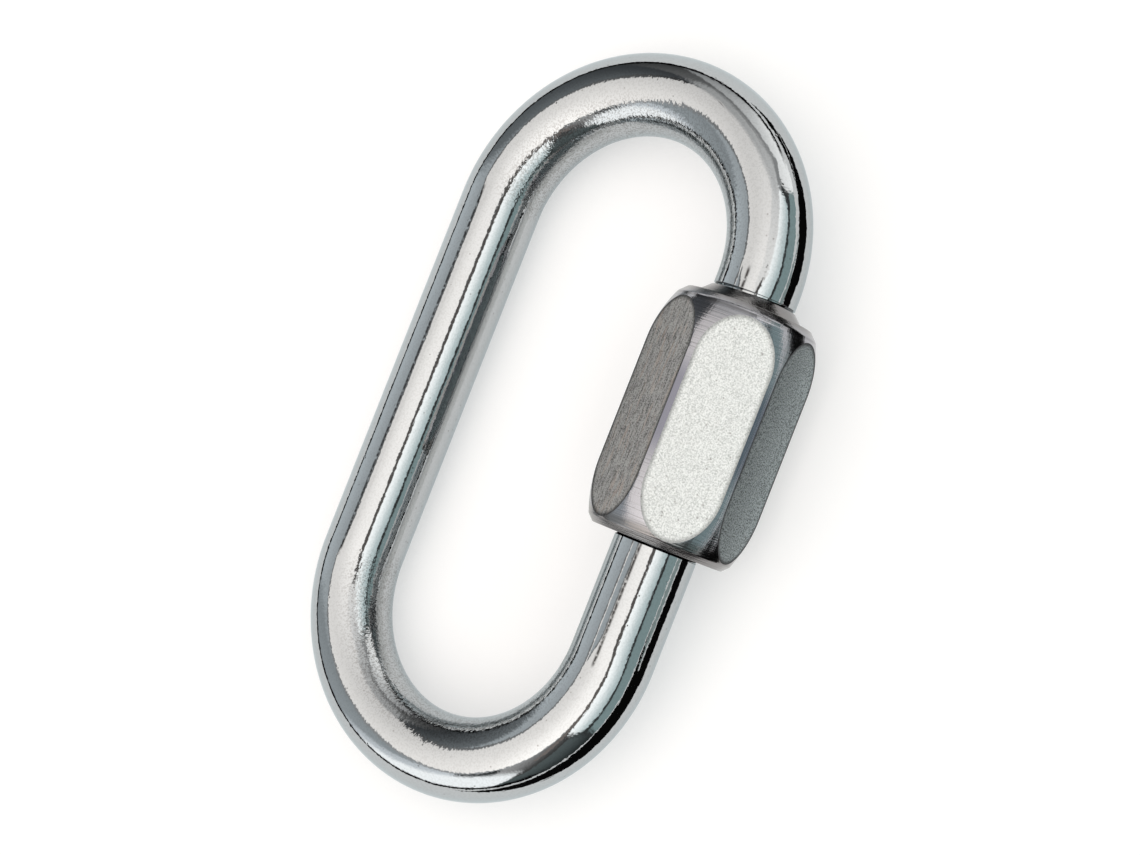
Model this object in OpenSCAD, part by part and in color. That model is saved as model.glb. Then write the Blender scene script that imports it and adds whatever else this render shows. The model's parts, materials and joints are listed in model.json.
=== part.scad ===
// Chain quick link: a bent rod with a gate gap in one leg, closed by a hexagonal sleeve nut.
// The link lies as it comes to rest, on the plain leg and on a corner of the nut, with +Z up.
// +Y runs along the legs, and the origin is under the middle of the link, on the surface it lies on.

/* [Rod] */
// Diameter of the rod
rod_d = 8; // [6:0.5:10]
// Length of the clear space inside the link
inside_length = 58.5; // [50:0.5:80]
// Width of the clear space between the rod of the two legs
inside_width = 22; // [18:0.5:30]

/* [Gate] */
// Gap in the leg that the nut closes
gate_gap = 7.5; // [5:0.25:9]
// Length of thread that the closed nut grips above the gap
grip_above = 2.5; // [1.5:0.25:3]
// Plain straight rod between the lower bow and the closed nut
plain_run = 11; // [10.5:0.25:12]
// Pitch of the thread
thread_pitch = 1.25; // [1:0.05:1.5]
// Chamfer on the two threaded tips
tip_chamfer = 0.6; // [0.3:0.1:0.9]

/* [Nut] */
// Length of the hexagonal part
nut_length = 23.4; // [22.5:0.1:24]
// Wall of the nut from the rod's surface to a flat
nut_wall = 3; // [2.5:0.1:4]
// Depth turned off each corner of the hexagon
corner_trim = 0.18; // [0.1:0.02:0.6]
// Length of each end that is turned to a curve
crown_length = 5.75; // [4:0.25:9]
// Depth of that curve at the lower end face
lower_drop = 1.2; // [1.1:0.05:1.5]
// Depth of that curve at the upper end face
upper_drop = 1.45; // [0.8:0.05:1.6]
// Chamfer around the two end faces
end_chamfer = 0.35; // [0.1:0.05:0.4]
// Height of the tapered nose that seats on the rod's shoulder
nose_height = 1; // [0.5:0.1:1.2]
// Wall of the nose over the rod's surface at its root
nose_wall = 1.2; // [0.5:0.05:1.4]
// Width of the land at the nose's tip outside the rod's surface
nose_land = 0.15; // [0.1:0.05:0.3]
// Turn of the nut from having a corner square to the link's plane
nut_turn = 1; // [-15:1:15]

/* [Clearances] */
// Radial room between the two threads, taken at their pitch diameter
thread_clearance = 0.05; // [0.02:0.01:0.1]
// Radial room where the nut slides over the plain rod
slide_clearance = 0.15; // [0.1:0.05:0.3]
// End room between the nut and the shoulder it stops at
seat_clearance = 0.05; // [0.02:0.01:0.1]

/* [Hidden] */
$fn = 96;

// A cutter reaches this far past the solid that it cuts.
past = 1;

// The rod and the thread
rod_r = rod_d / 2;
leg_x = (inside_width + rod_d) / 2;
straight = inside_length - inside_width;
pitch_depth = 0.325 * thread_pitch;
stud_r = rod_r - pitch_depth;

// The nut slides down by this much to open the gate.
travel = gate_gap + grip_above;

// Heights along the gate leg, from the middle of the link
nut_low = plain_run - straight / 2;
nut_high = nut_low + nut_length;
nose_tip = nut_high + nose_height;
upper_shoulder = nose_tip + seat_clearance;
upper_tip = nose_tip - grip_above;
lower_tip = upper_tip - gate_gap;
bore_step = nut_low + travel + seat_clearance;
lower_shoulder = nut_low;

// The section of the nut
flat_r = rod_r + nut_wall;
corner_r = flat_r / cos(30) - corner_trim;

// Half the angle of the narrow turned strip at each corner
strip_angle = 30 - acos(flat_r / corner_r);

// How far the nut reaches from its axis, at an angle from the normal of the link's plane
function off_corner(angle) = abs((angle - nut_turn + 750) % 60 - 30);
function nut_reach(angle) = corner_r * cos(max(0, off_corner(angle) - strip_angle));

// The tilt at which the plain leg and the nut rest on one level, found by repeated steps
function settle(steps, tilt) =
    steps == 0 ? tilt : settle(steps - 1, asin((nut_reach(180 + tilt) - rod_r) / (2 * leg_x)));
lie_tilt = settle(12, 0);
lift = leg_x * sin(lie_tilt) + rod_r;
left_reach = rod_r;
right_reach = nut_reach(90 + lie_tilt);
shift_x = (left_reach - right_reach) / 2;

// Puts the link, drawn flat about its middle, in its resting place.
module at_rest() {
    translate([shift_x, 0, lift]) rotate([0, -lie_tilt, 0]) children();
}

// Stands a solid drawn along Z on the gate leg, at a height along it.
module on_gate_leg(height) {
    translate([leg_x, height, 0]) rotate([-90, 0, 0]) children();
}

// A half turn of the rod that joins the two legs.
module bow() {
    rotate_extrude(angle = 180) translate([leg_x, 0]) circle(r = rod_r);
}

// The threaded end of the rod, from its shoulder to its chamfered tip.
module threaded_end(length) {
    cylinder(r = stud_r, h = length - tip_chamfer);
    translate([0, 0, length - tip_chamfer]) cylinder(r1 = stud_r, r2 = stud_r - tip_chamfer, h = tip_chamfer);
}

// The bent rod: two bows, the plain leg, and the gate leg with its gap.
module link_body() {
    color("silver") at_rest() union() {
        translate([0, straight / 2, 0]) bow();
        translate([0, -straight / 2, 0]) rotate([0, 0, 180]) bow();
        translate([-leg_x, -straight / 2, 0]) rotate([-90, 0, 0]) cylinder(r = rod_r, h = straight);
        on_gate_leg(-straight / 2) cylinder(r = rod_r, h = lower_shoulder + straight / 2);
        on_gate_leg(lower_shoulder) threaded_end(lower_tip - lower_shoulder);
        on_gate_leg(upper_shoulder) cylinder(r = rod_r, h = straight / 2 - upper_shoulder);
        on_gate_leg(upper_shoulder) mirror([0, 0, 1]) threaded_end(upper_shoulder - upper_tip);
    }
}

// Half the outline of one curved end of the nut, from its end face inwards.
module crown_profile(drop) {
    crown_r = (crown_length ^ 2 + drop ^ 2) / (2 * drop);
    end_r = corner_r - drop;
    intersection() {
        square([corner_r, crown_length]);
        translate([corner_r - crown_r, crown_length]) circle(r = crown_r, $fn = 360);
        polygon([
            [0, 0],
            [end_r - end_chamfer, 0],
            [corner_r, corner_r - end_r + end_chamfer],
            [corner_r, crown_length],
            [0, crown_length]
        ]);
    }
}

// The round form that the hexagon is turned to, standing on its lower end face.
module turned_form() {
    rotate_extrude() union() {
        crown_profile(lower_drop);
        translate([0, crown_length]) square([corner_r, nut_length - 2 * crown_length]);
        translate([0, nut_length]) mirror([0, 1]) crown_profile(upper_drop);
    }
}

// The tapered nose, whose taper runs on inside the nut by the nose's own height.
module nose() {
    root_r = rod_r + 2 * nose_wall - nose_land;
    translate([0, 0, -nose_height]) cylinder(r1 = root_r, r2 = rod_r + nose_land, h = 2 * nose_height);
}

// The nut: a turned hexagon with a nose, bored through for the thread and wider below for the plain rod.
module sleeve_nut() {
    color("gainsboro") at_rest() on_gate_leg(nut_low) difference() {
        union() {
            intersection() {
                rotate([0, 0, 30 + nut_turn]) cylinder(r = flat_r / cos(30), h = nut_length, $fn = 6);
                turned_form();
            }
            translate([0, 0, nut_length]) nose();
        }
        translate([0, 0, -past]) cylinder(r = stud_r + thread_clearance, h = nut_length + nose_height + 2 * past);
        translate([0, 0, -past]) cylinder(r = rod_r + slide_clearance, h = bore_step - nut_low + past);
    }
}

link_body();
sleeve_nut();
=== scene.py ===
"""Chain quick link: a bent rod whose gate is closed by a hexagonal sleeve nut, in a small photo studio."""

import json
import logging
import math
from dataclasses import dataclass
from enum import Enum, IntEnum
from typing import Callable, Sequence

import bmesh
import bpy
from mathutils import Matrix, Vector


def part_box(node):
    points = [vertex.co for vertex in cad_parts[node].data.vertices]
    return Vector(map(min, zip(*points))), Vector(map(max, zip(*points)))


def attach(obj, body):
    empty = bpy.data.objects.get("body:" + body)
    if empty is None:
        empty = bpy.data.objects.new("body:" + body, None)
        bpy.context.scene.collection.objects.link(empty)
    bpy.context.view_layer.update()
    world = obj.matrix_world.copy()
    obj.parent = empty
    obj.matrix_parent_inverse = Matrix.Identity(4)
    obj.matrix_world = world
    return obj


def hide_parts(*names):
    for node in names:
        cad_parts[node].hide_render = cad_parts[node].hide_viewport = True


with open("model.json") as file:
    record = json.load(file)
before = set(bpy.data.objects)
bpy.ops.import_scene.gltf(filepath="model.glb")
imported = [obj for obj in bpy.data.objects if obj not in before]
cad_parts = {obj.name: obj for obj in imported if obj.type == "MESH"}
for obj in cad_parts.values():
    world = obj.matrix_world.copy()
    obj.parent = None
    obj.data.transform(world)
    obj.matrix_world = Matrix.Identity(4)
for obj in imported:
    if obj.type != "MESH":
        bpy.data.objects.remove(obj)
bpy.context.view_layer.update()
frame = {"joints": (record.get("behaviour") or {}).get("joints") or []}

LOG = logging.getLogger("quick_link")

MM = 0.001
PHOTO_WIDTH = 1140.0
WELD = 1e-7
ROD_RADIUS = 4.0 * MM
HALF_SIDE = math.radians(30.0)
FLAT_PAIRS = 3
NICK_AXIS = (0.35, 0.2, 0.9)
NICK_STRETCH = (1.0, 1.0, 0.09)
GRAIN_ROUGHNESS = 0.6

Colour = tuple[float, float, float]


class Body(Enum):
    """The two bodies that the pieces ride on."""

    LINK = "link"
    NUT = "nut"


class Cut(Enum):
    """How one solid acts on another."""

    KEEP_COMMON = "INTERSECT"
    TAKE_AWAY = "DIFFERENCE"


class NutFace(IntEnum):
    """Material slots of the nut's faces. Opposite flats share one. The grainy and brushed flats are coloured
    darker than the satin ones as painted shade.
    """

    SATIN = 0
    GRAINY_SHADED = 1
    BRUSHED_SHADED = 2
    TURNED = 3
    # The flats' rounded edges, painted near black as shade.
    SHADED_RIM = 4


class Run(Enum):
    """The way in which a light panel's colour changes."""

    ACROSS = "across"
    ALONG = "along"


@dataclass(frozen=True)
class Layout:
    """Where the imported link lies, read from the frame.

    The link's own plane has X from the plain leg to the gate leg, Y along the legs and Z out of the plane.
    """

    rod_radius: float
    plain_axis: Vector
    gate_axis: Vector
    half_length: float
    nut_low: float
    nose_tip: float
    travel: float

    @classmethod
    def from_frame(cls, rod_radius: float) -> "Layout":
        """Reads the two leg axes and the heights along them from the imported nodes.

        Args:
            rod_radius: Radius of the rod.

        Returns:
            The layout of the link as it lies.
        """
        rod_low, rod_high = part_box("link_body")
        nut_low, nut_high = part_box("sleeve_nut")
        middle = (nut_low + nut_high) / 2
        return cls(
            rod_radius=rod_radius,
            plain_axis=Vector((rod_low.x + rod_radius, 0.0, rod_low.z + rod_radius)),
            gate_axis=Vector((middle.x, 0.0, middle.z)),
            half_length=(rod_high.y - rod_low.y) / 2,
            nut_low=nut_low.y,
            nose_tip=nut_high.y,
            travel=frame["joints"][0]["range_m"][1],
        )

    @property
    def leg_x(self) -> float:
        """Distance of each leg's axis from the middle of the link."""
        return (self.gate_axis - self.plain_axis).length / 2

    @property
    def half_straight(self) -> float:
        """Half the length of the straight legs."""
        return self.half_length - self.rod_radius - self.leg_x

    @property
    def tilt(self) -> float:
        """Angle by which the gate leg stands higher than the plain leg."""
        return math.asin((self.gate_axis - self.plain_axis).normalized().z)

    @property
    def placing(self) -> Matrix:
        """Matrix from the link's own plane to the frame."""
        across = (self.gate_axis - self.plain_axis).normalized()
        along = Vector((0.0, 1.0, 0.0))
        turn = Matrix((across, along, across.cross(along))).transposed().to_4x4()
        return Matrix.Translation((self.gate_axis + self.plain_axis) / 2) @ turn


class Solid:
    """Mesh steps that the rod, its threads and the nut share. Each works along a Y axis."""

    @staticmethod
    def closed_loop_faces(bm: bmesh.types.BMesh) -> None:
        """Closes every open end of a tube and turns all faces outwards.

        Args:
            bm: The tube's mesh.
        """
        bmesh.ops.remove_doubles(bm, verts=bm.verts[:], dist=WELD)
        bmesh.ops.holes_fill(bm, edges=[e for e in bm.edges if e.is_boundary], sides=0)
        bmesh.ops.recalc_face_normals(bm, faces=bm.faces[:])

    @staticmethod
    def lathe(outline: Sequence[tuple[float, float]], axis_x: float, segments: int) -> bmesh.types.BMesh:
        """Turns an outline about an axis along Y.

        Args:
            outline: Points as radius and height, from axis to axis.
            axis_x: Where the axis stands.
            segments: Faces around.

        Returns:
            A closed turned solid.
        """
        bm = bmesh.new()
        points = [bm.verts.new((axis_x + radius, height, 0.0)) for radius, height in outline]
        edges = [bm.edges.new(pair) for pair in zip(points, points[1:])]
        bmesh.ops.spin(
            bm, geom=points + edges, cent=(axis_x, 0.0, 0.0), axis=(0.0, 1.0, 0.0),
            angle=math.tau, steps=segments, use_merge=True,
        )
        bmesh.ops.remove_doubles(bm, verts=bm.verts[:], dist=WELD)
        bmesh.ops.recalc_face_normals(bm, faces=bm.faces[:])
        return bm

    @staticmethod
    def combine(target: bmesh.types.BMesh, tool: bmesh.types.BMesh, cut: Cut) -> bmesh.types.BMesh:
        """Cuts one solid with another.

        Args:
            target: The solid to cut. It is freed.
            tool: The solid that cuts it. It is freed.
            cut: What stays of the target.

        Returns:
            The solid that is left.
        """
        holders = []
        for name, part in (("target", target), ("tool", tool)):
            mesh = bpy.data.meshes.new(name)
            part.to_mesh(mesh)
            part.free()
            holders.append(bpy.data.objects.new(name, mesh))
            bpy.context.scene.collection.objects.link(holders[-1])
        modifier = holders[0].modifiers.new("cut", "BOOLEAN")
        modifier.operation = cut.value
        modifier.object = holders[1]
        modifier.solver = "EXACT"
        graph = bpy.context.evaluated_depsgraph_get()
        result = bmesh.new()
        result.from_object(holders[0], graph)
        for holder in holders:
            mesh = holder.data
            bpy.data.objects.remove(holder)
            bpy.data.meshes.remove(mesh)
        bmesh.ops.remove_doubles(result, verts=result.verts[:], dist=WELD)
        return result

    @staticmethod
    def to_piece(bm: bmesh.types.BMesh, name: str, placing: Matrix, body: Body) -> bpy.types.Object:
        """Makes a finished mesh a piece that rides on a body.

        Args:
            bm: The mesh in the link's own plane. It is freed.
            name: Name of the piece.
            placing: Matrix from the link's own plane to the frame.
            body: The body that the piece moves with.

        Returns:
            The new object, with its place in its mesh.
        """
        bmesh.ops.transform(bm, matrix=placing, verts=bm.verts[:])
        mesh = bpy.data.meshes.new(name)
        bm.to_mesh(mesh)
        bm.free()
        piece = bpy.data.objects.new(name, mesh)
        bpy.context.scene.collection.objects.link(piece)
        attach(piece, body.value)
        return piece


@dataclass(frozen=True)
class Thread:
    """The right-hand thread that the two rod ends and the nut share, all in one phase."""

    pitch: float = 1.25 * MM
    crest_radius: float = 3.96 * MM
    depth: float = 0.68 * MM
    flank_slope: float = math.tan(math.radians(30.0))
    steps_per_turn: int = 48

    def solid(self, axis_x: float, low: float, high: float, growth: float) -> bmesh.types.BMesh:
        """Sweeps the thread's outline round the axis as a closed screw.

        Args:
            axis_x: Where the axis stands.
            low: Lower end.
            high: Upper end.
            growth: How far the whole surface stands out from the nominal one.

        Returns:
            The screw with flat ends.
        """
        crest = self.crest_radius + growth
        root = crest - self.depth
        flank = self.depth * self.flank_slope
        crest_flat = self.pitch / 8 + 2 * growth * self.flank_slope
        root_flat = self.pitch - crest_flat - 2 * flank
        outline = (
            (root, -crest_flat / 2 - flank - root_flat),
            (root, -crest_flat / 2 - flank),
            (crest, -crest_flat / 2),
            (crest, crest_flat / 2),
            (root, crest_flat / 2 + flank),
        )
        first_turn = math.floor(low / self.pitch) - 1
        turns = math.ceil(high / self.pitch) + 2 - first_turn
        bm = bmesh.new()
        points = [bm.verts.new((axis_x + r, first_turn * self.pitch + y, 0.0)) for r, y in outline]
        edges = [bm.edges.new(pair) for pair in zip(points, points[1:])]
        bmesh.ops.spin(
            bm, geom=points + edges, cent=(axis_x, 0.0, 0.0), axis=(0.0, 1.0, 0.0),
            dvec=(0.0, self.pitch / self.steps_per_turn, 0.0),
            angle=math.tau * turns, steps=self.steps_per_turn * turns,
        )
        bmesh.ops.remove_doubles(bm, verts=bm.verts[:], dist=WELD)
        for height, side in ((low, -1.0), (high, 1.0)):
            bmesh.ops.bisect_plane(
                bm, geom=bm.verts[:] + bm.edges[:] + bm.faces[:], dist=WELD,
                plane_co=(axis_x, height, 0.0), plane_no=(0.0, side, 0.0), clear_outer=True,
            )
        Solid.closed_loop_faces(bm)
        return bm


@dataclass(frozen=True)
class LinkBody:
    """The bent rod, with its two threaded ends."""

    layout: Layout
    thread: Thread
    seat_clearance: float = 0.05 * MM
    grip_above: float = 2.5 * MM
    tip_chamfer: float = 0.6 * MM
    root_in_rod: float = 0.3 * MM
    shoulder_taper: float = 0.25 * MM
    sides: int = 128
    smooth_degrees: float = 35.0
    bow_steps: int = 128
    step_length: float = 1.0 * MM
    bow_ease: float = 3.0 * MM
    plain_strip_slope: float = 0.085
    gate_strip_slope: float = 0.17
    # Offsets of the painted dark reflection line from the start of each leg's strip.
    plain_dark_reflection: float = 0.06 * MM
    gate_dark_reflection: float = 0.52 * MM

    def build(self) -> bpy.types.Object:
        """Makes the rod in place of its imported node.

        Returns:
            The finished piece, not yet dressed.
        """
        bm = bmesh.new()
        lay = self.layout
        upper_shoulder = lay.nose_tip + self.seat_clearance
        upper_tip = lay.nose_tip - self.grip_above
        lower_tip = lay.nose_tip - lay.travel
        self._tube(bm, lay.nut_low, upper_shoulder)
        for shoulder, tip in ((lay.nut_low, lower_tip), (upper_shoulder, upper_tip)):
            end = self._threaded_end(shoulder, tip)
            self._join(bm, end)
        self._mark_unrolled(bm)
        piece = Solid.to_piece(bm, "bent_rod", lay.placing, Body.LINK)
        piece.data.shade_smooth()
        piece.data.set_sharp_from_angle(angle=math.radians(self.smooth_degrees))
        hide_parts("link_body")
        return piece

    def dress(self, piece: bpy.types.Object, shop: "Workshop") -> None:
        """Gives the rod its polished finish.

        Args:
            piece: The rod.
            shop: The shared node groups.
        """
        piece.data.materials.append(PolishedRod().material(shop))

    def _tube(self, bm: bmesh.types.BMesh, lower_shoulder: float, upper_shoulder: float) -> None:
        """Draws the rod from the lower shoulder round both bows to the upper one.

        Args:
            bm: The empty mesh to draw it in.
            lower_shoulder: Height of the shoulder below the gap.
            upper_shoulder: Height of the shoulder above the gap.
        """
        lay = self.layout
        foot = lower_shoulder - self.shoulder_taper
        stand = Matrix.Translation((lay.leg_x, foot, 0.0)) @ Matrix.Rotation(math.pi / 2, 4, "X")
        bmesh.ops.create_circle(
            bm, cap_ends=False, segments=self.sides, radius=lay.rod_radius, matrix=stand)
        start = bm.edges[:]
        edges = self._straight(bm, start, self.shoulder_taper - lay.half_straight - lower_shoulder)
        edges = self._bow(bm, edges, -lay.half_straight)
        edges = self._straight(bm, edges, 2 * lay.half_straight)
        edges = self._bow(bm, edges, lay.half_straight)
        edges = self._straight(bm, edges, upper_shoulder + self.shoulder_taper - lay.half_straight)
        self._shoulder(bm, start, self.shoulder_taper)
        self._shoulder(bm, edges, -self.shoulder_taper)
        Solid.closed_loop_faces(bm)

    def _straight(self, bm: bmesh.types.BMesh, edges: list, length: float) -> list:
        """Extrudes a ring along Y in short steps.

        Args:
            bm: The rod's mesh.
            edges: The ring's edges.
            length: How far it goes along Y.

        Returns:
            The last ring's edges.
        """
        steps = max(1, round(abs(length) / self.step_length))
        for _ in range(steps):
            new = bmesh.ops.extrude_edge_only(bm, edges=edges)["geom"]
            verts = [g for g in new if isinstance(g, bmesh.types.BMVert)]
            bmesh.ops.translate(bm, verts=verts, vec=(0.0, length / steps, 0.0))
            edges = [g for g in new if isinstance(g, bmesh.types.BMEdge)]
        return edges

    def _bow(self, bm: bmesh.types.BMesh, edges: list, height: float) -> list:
        """Spins a ring half round the middle of the link.

        Args:
            bm: The rod's mesh.
            edges: The ring's edges.
            height: Height of the bow's centre.

        Returns:
            The last ring's edges.
        """
        verts = list(dict.fromkeys(vert for edge in edges for vert in edge.verts))
        spun = bmesh.ops.spin(
            bm, geom=verts + edges, cent=(0.0, height, 0.0), axis=(0.0, 0.0, -1.0),
            angle=math.pi, steps=self.bow_steps,
        )
        return [g for g in spun["geom_last"] if isinstance(g, bmesh.types.BMEdge)]

    def _shoulder(self, bm: bmesh.types.BMesh, edges: list, drop: float) -> None:
        """Tapers an open end of the rod towards its tip.

        Args:
            bm: The rod's mesh.
            edges: The open end's edges.
            drop: Length of the taper along Y.
        """
        lay = self.layout
        new = bmesh.ops.extrude_edge_only(bm, edges=edges)["geom"]
        verts = [g for g in new if isinstance(g, bmesh.types.BMVert)]
        share = 1.0 - self.shoulder_taper / lay.rod_radius
        to_axis = Matrix.Translation((-lay.leg_x, 0.0, 0.0))
        bmesh.ops.scale(bm, verts=verts, vec=(share, 1.0, share), space=to_axis)
        bmesh.ops.translate(bm, verts=verts, vec=(0.0, drop, 0.0))

    def _threaded_end(self, shoulder: float, tip: float) -> bmesh.types.BMesh:
        """Cuts a length of screw to a chamfered rod end.

        Args:
            shoulder: Height of the shoulder that the end stands on.
            tip: Height of its tip.

        Returns:
            The threaded end.
        """
        lay = self.layout
        way = math.copysign(1.0, tip - shoulder)
        foot = shoulder - way * self.root_in_rod
        crest = self.thread.crest_radius
        blank = Solid.lathe(
            [
                (0.0, foot), (crest, foot), (crest, tip - way * self.tip_chamfer),
                (crest - self.tip_chamfer, tip), (0.0, tip),
            ],
            lay.leg_x, self.thread.steps_per_turn * 2,
        )
        margin = self.thread.pitch
        screw = self.thread.solid(lay.leg_x, min(foot, tip) - margin, max(foot, tip) + margin, 0.0)
        return Solid.combine(screw, blank, Cut.KEEP_COMMON)

    @staticmethod
    def _join(bm: bmesh.types.BMesh, part: bmesh.types.BMesh) -> None:
        """Adds a separate closed shell to the rod's mesh.

        Args:
            bm: The rod's mesh.
            part: The shell's mesh. It is freed.
        """
        mesh = bpy.data.meshes.new("shell")
        part.to_mesh(mesh)
        part.free()
        bm.from_mesh(mesh)
        bpy.data.meshes.remove(mesh)

    def _mark_unrolled(self, bm: bmesh.types.BMesh) -> None:
        """Stores what the finish reads at each point.

        That is its place on the rod before it was bent, its share of an inner bend, and its place on the
        flattened strip of its leg: offset towards the gate leg, the strip's slope, offset from the painted
        dark reflection line on the strip.

        Args:
            bm: The rod's mesh.
        """
        lay = self.layout
        unrolled = bm.verts.layers.float_vector.new("unrolled")
        inner_bend = bm.verts.layers.float.new("inner_bend")
        flat_strip = bm.verts.layers.float_vector.new("flat_strip")
        round_bow = 2 * lay.half_straight + lay.leg_x * math.pi
        for vert in bm.verts:
            x, y, z = vert.co
            past = abs(y) - lay.half_straight
            if past <= 0.0:
                outward = abs(x) - lay.leg_x
                run = y if x < 0.0 else math.copysign(round_bow, y) - y
            else:
                outward = math.hypot(x, past) - lay.leg_x
                angle = math.atan2(past, -x)
                run = math.copysign(lay.half_straight + lay.leg_x * angle, y)
            vert[unrolled] = (outward, z, run)
            share = min(1.0, max(0.0, past / self.bow_ease + 0.5))
            vert[inner_bend] = share * max(0.0, -outward / lay.rod_radius)
            slope = self.plain_strip_slope if x < 0.0 else self.gate_strip_slope
            # Offset of this leg's painted dark reflection line.
            line = self.plain_dark_reflection if x < 0.0 else self.gate_dark_reflection
            offset = math.copysign(outward, outward * x)
            vert[flat_strip] = (offset, (1.0 - share) * slope if z > 0.0 else 0.0, offset - line)


@dataclass(frozen=True)
class SleeveNut:
    """The hexagonal sleeve nut, turned at both ends, threaded above and bored wider below."""

    layout: Layout
    thread: Thread
    nose_height: float = 1.0 * MM
    flat_radius: float = 7.0 * MM
    corner_trim: float = 0.18 * MM
    crown_length: float = 5.75 * MM
    lower_drop: float = 1.2 * MM
    upper_drop: float = 1.45 * MM
    end_chamfer: float = 0.35 * MM
    nose_root_radius: float = 5.2 * MM
    nose_tip_radius: float = 4.15 * MM
    turn_degrees: float = 1.0
    slide_clearance: float = 0.15 * MM
    seat_clearance: float = 0.05 * MM
    thread_clearance: float = 0.05 * MM
    edge_round: float = 0.11 * MM
    segments: int = 240
    crown_steps: int = 46
    sharp_edge_degrees: float = 9.0
    smooth_degrees: float = 32.0
    flat_tolerance: float = 0.002 * MM
    smallest_flat: float = MM ** 2
    flat_weight: int = 100

    @property
    def nut_high(self) -> float:
        """Height of the upper end face."""
        return self.layout.nose_tip - self.nose_height

    @property
    def hexagon_radius(self) -> float:
        """Radius of the corners before they are turned."""
        return self.flat_radius / math.cos(HALF_SIDE)

    @property
    def corner_radius(self) -> float:
        """Radius that the corners are turned to."""
        return self.hexagon_radius - self.corner_trim

    @property
    def centre(self) -> Vector:
        """Middle of the nut in the frame."""
        lay = self.layout
        return Vector((lay.gate_axis.x, (lay.nut_low + lay.nose_tip) / 2, lay.gate_axis.z))

    def sweep(self, drop: float) -> float:
        """Radius of the curve that takes a turned end down by the given drop."""
        return (self.crown_length ** 2 + drop ** 2) / (2 * drop)

    def build(self) -> bpy.types.Object:
        """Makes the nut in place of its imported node.

        Returns:
            The finished piece, not yet dressed.
        """
        lay = self.layout
        bm = Solid.combine(self._hexagon(), self._turned_form(), Cut.KEEP_COMMON)
        self._round_edges(bm)
        bm = Solid.combine(bm, self._wide_bore(), Cut.TAKE_AWAY)
        step = lay.nut_low + lay.travel + self.seat_clearance
        cutter = self.thread.solid(
            lay.leg_x, step - self.thread.pitch / 2, lay.nose_tip + self.thread.pitch, self.thread_clearance)
        bm = Solid.combine(bm, cutter, Cut.TAKE_AWAY)
        self._mark_faces(bm)
        piece = Solid.to_piece(bm, "hex_sleeve_nut", lay.placing, Body.NUT)
        piece.data.shade_smooth()
        piece.data.set_sharp_from_angle(angle=math.radians(self.smooth_degrees))
        keep_flat = piece.modifiers.new("keep_flats_flat", "WEIGHTED_NORMAL")
        keep_flat.keep_sharp = True
        keep_flat.weight = self.flat_weight
        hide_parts("sleeve_nut")
        return piece

    def dress(self, piece: bpy.types.Object, shop: "Workshop") -> None:
        """Gives the nut's flats, turned ends and rims their finishes.

        Args:
            piece: The nut.
            shop: The shared node groups.
        """
        finishes = {
            NutFace.SATIN: MilledFlat(self),
            NutFace.GRAINY_SHADED: GrainyShadedFlat(self),
            NutFace.BRUSHED_SHADED: BrushedShadedFlat(self),
            NutFace.TURNED: TurnedEnd(self),
            NutFace.SHADED_RIM: ShadedFlatRim(self),
        }
        for face in NutFace:
            piece.data.materials.append(finishes[face].material(shop))

    def _hexagon(self) -> bmesh.types.BMesh:
        """Extrudes the full hexagon from the lower end face to the nose's tip.

        Returns:
            The hexagon.
        """
        lay = self.layout
        bm = bmesh.new()
        stand = Matrix.Translation((lay.leg_x, lay.nut_low, 0.0))
        turn = Matrix.Rotation(math.radians(self.turn_degrees), 4, "Y")
        turn = turn @ Matrix.Rotation(-math.pi / 2, 4, "X")
        bmesh.ops.create_circle(
            bm, cap_ends=True, segments=6, radius=self.hexagon_radius, matrix=stand @ turn)
        top = bmesh.ops.extrude_face_region(bm, geom=bm.faces[:])["geom"]
        verts = [g for g in top if isinstance(g, bmesh.types.BMVert)]
        bmesh.ops.translate(bm, verts=verts, vec=(0.0, lay.nose_tip - lay.nut_low, 0.0))
        bmesh.ops.recalc_face_normals(bm, faces=bm.faces[:])
        return bm

    def _crown(self, drop: float) -> list[tuple[float, float]]:
        """Outline of a turned and chamfered end, as radius and depth from its end face.

        Args:
            drop: Depth of the end's curve at the end face.

        Returns:
            Points from the end face inwards.
        """
        sweep = self.sweep(drop)
        end_radius = self.corner_radius - drop - self.end_chamfer
        points = [(end_radius, 0.0)]
        for step in range(self.crown_steps + 1):
            depth = self.crown_length * step / self.crown_steps
            rise = math.sqrt(sweep ** 2 - (self.crown_length - depth) ** 2)
            points.append((min(self.corner_radius - sweep + rise, end_radius + depth), depth))
        return points[:1] + points[2:]

    def _turned_form(self) -> bmesh.types.BMesh:
        """Turns the round form that trims the hexagon, with the nose on its upper end.

        Returns:
            The turned form.
        """
        lay = self.layout
        lower, upper = self._crown(self.lower_drop), self._crown(self.upper_drop)
        outline = [(0.0, lay.nut_low)]
        outline += [(radius, lay.nut_low + depth) for radius, depth in lower]
        outline += [(radius, self.nut_high - depth) for radius, depth in reversed(upper)]
        outline += [
            (self.nose_root_radius, self.nut_high),
            (self.nose_tip_radius, lay.nose_tip),
            (0.0, lay.nose_tip),
        ]
        return Solid.lathe(outline, lay.leg_x, self.segments)

    def _round_edges(self, bm: bmesh.types.BMesh) -> None:
        """Rounds the edges between flats, turned ends and end faces.

        Args:
            bm: The nut's mesh, before it is bored.
        """
        lay = self.layout
        outer = self.nose_root_radius + self.edge_round
        chosen = []
        for edge in bm.edges:
            middle = (edge.verts[0].co + edge.verts[1].co) / 2
            radius = math.hypot(middle.x - lay.leg_x, middle.z)
            if radius < outer or len(edge.link_faces) != 2 or not edge.is_convex:
                continue
            if edge.calc_face_angle() > math.radians(self.sharp_edge_degrees):
                chosen.append(edge)
        bmesh.ops.bevel(
            bm, geom=chosen, offset=self.edge_round, offset_type="OFFSET", segments=2, profile=0.5,
            affect="EDGES", clamp_overlap=True, material=-1)

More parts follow.
